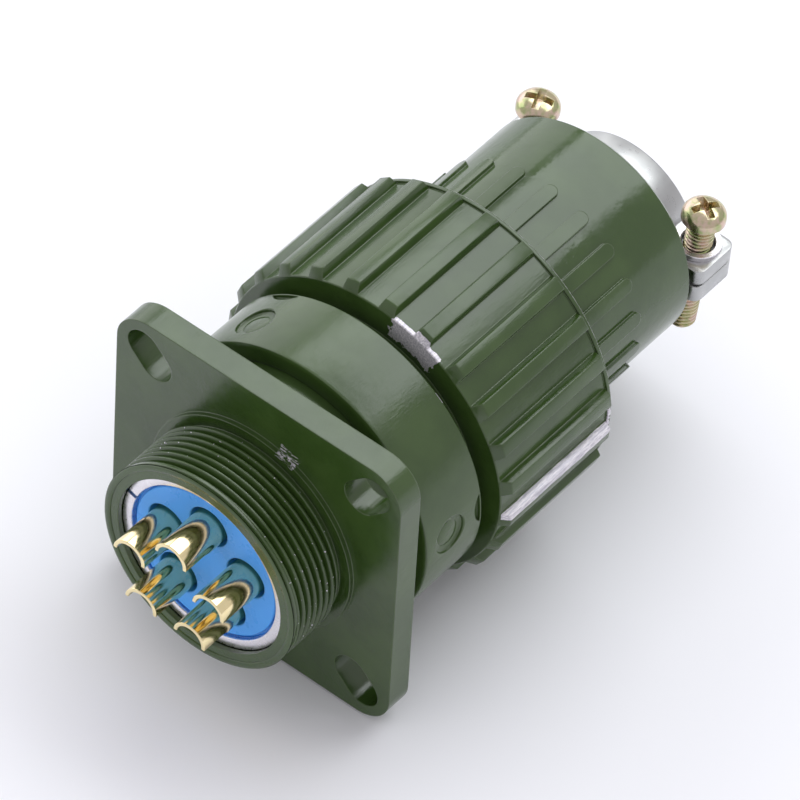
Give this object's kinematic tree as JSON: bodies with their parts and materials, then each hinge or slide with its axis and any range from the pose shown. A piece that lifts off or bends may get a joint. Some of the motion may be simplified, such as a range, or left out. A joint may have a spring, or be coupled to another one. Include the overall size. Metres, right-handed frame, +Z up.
{
  "type": "circular bayonet connector",
  "caption": "Mated circular bayonet connector: square flange receptacle with solder cups, toothed coupling ring, ribbed backshell and screw cable clamp.",
  "frame": {"origin": "on the connector axis at the solder-side face of the mounting flange", "axes": "+X along the connector axis towards the cable clamp, +Z up and square to the flange's top edge"},
  "size_m": [0.073, 0.0368, 0.0368],
  "materials": {
    "painted_shell": "gloss olive-green enamel on aluminium",
    "insert_plastic": "smooth blue moulded plastic",
    "contact_gold": "gold plated",
    "bright_steel": "plain spring steel",
    "seal_rubber": "matt",
    "clamp_metal": "bright as-cast",
    "yellow_zinc": "pale yellow zinc plate"
  },
  "bodies": {
    "receptacle": {"receptacle_shell": "painted_shell", "receptacle_insert": "insert_plastic", "pin_contact_1": "contact_gold", "pin_contact_2": "contact_gold", "pin_contact_3": "contact_gold", "pin_contact_4": "contact_gold", "pin_contact_5": "contact_gold", "insert_retaining_ring": "bright_steel", "interface_seal": "seal_rubber"},
    "plug": {"plug_shell": "painted_shell", "plug_insert": "insert_plastic", "socket_contact_1": "contact_gold", "socket_contact_2": "contact_gold", "socket_contact_3": "contact_gold", "socket_contact_4": "contact_gold", "socket_contact_5": "contact_gold", "wave_washer": "bright_steel", "ring_circlip": "bright_steel", "backshell": "painted_shell", "clamp_base": "clamp_metal", "clamp_screws": "yellow_zinc"},
    "coupling_ring": {"coupling_ring": "painted_shell", "bayonet_studs": "painted_shell"},
    "saddle": {"clamp_saddle": "clamp_metal", "spring_washers": "bright_steel"}
  },
  "joints": [
    {"name": "plug_slide", "type": "slide", "parent": "receptacle", "child": "plug", "axis": [1, 0, 0], "range_m": [0, 0.0054]},
    {"name": "ring_turn", "type": "hinge", "parent": "plug", "child": "coupling_ring", "pos_m": [0.0105, 0, 0], "axis": [1, 0, 0], "range_deg": [0, 120]},
    {"name": "saddle_lift", "type": "slide", "parent": "plug", "child": "saddle", "axis": [0, -0.0872, 0.9962], "range_m": [0, 0.003]}
  ],
  "couplings": [
    {"joint": "ring_turn", "follows": "plug_slide", "rad_per_m": 387.85}
  ]
}
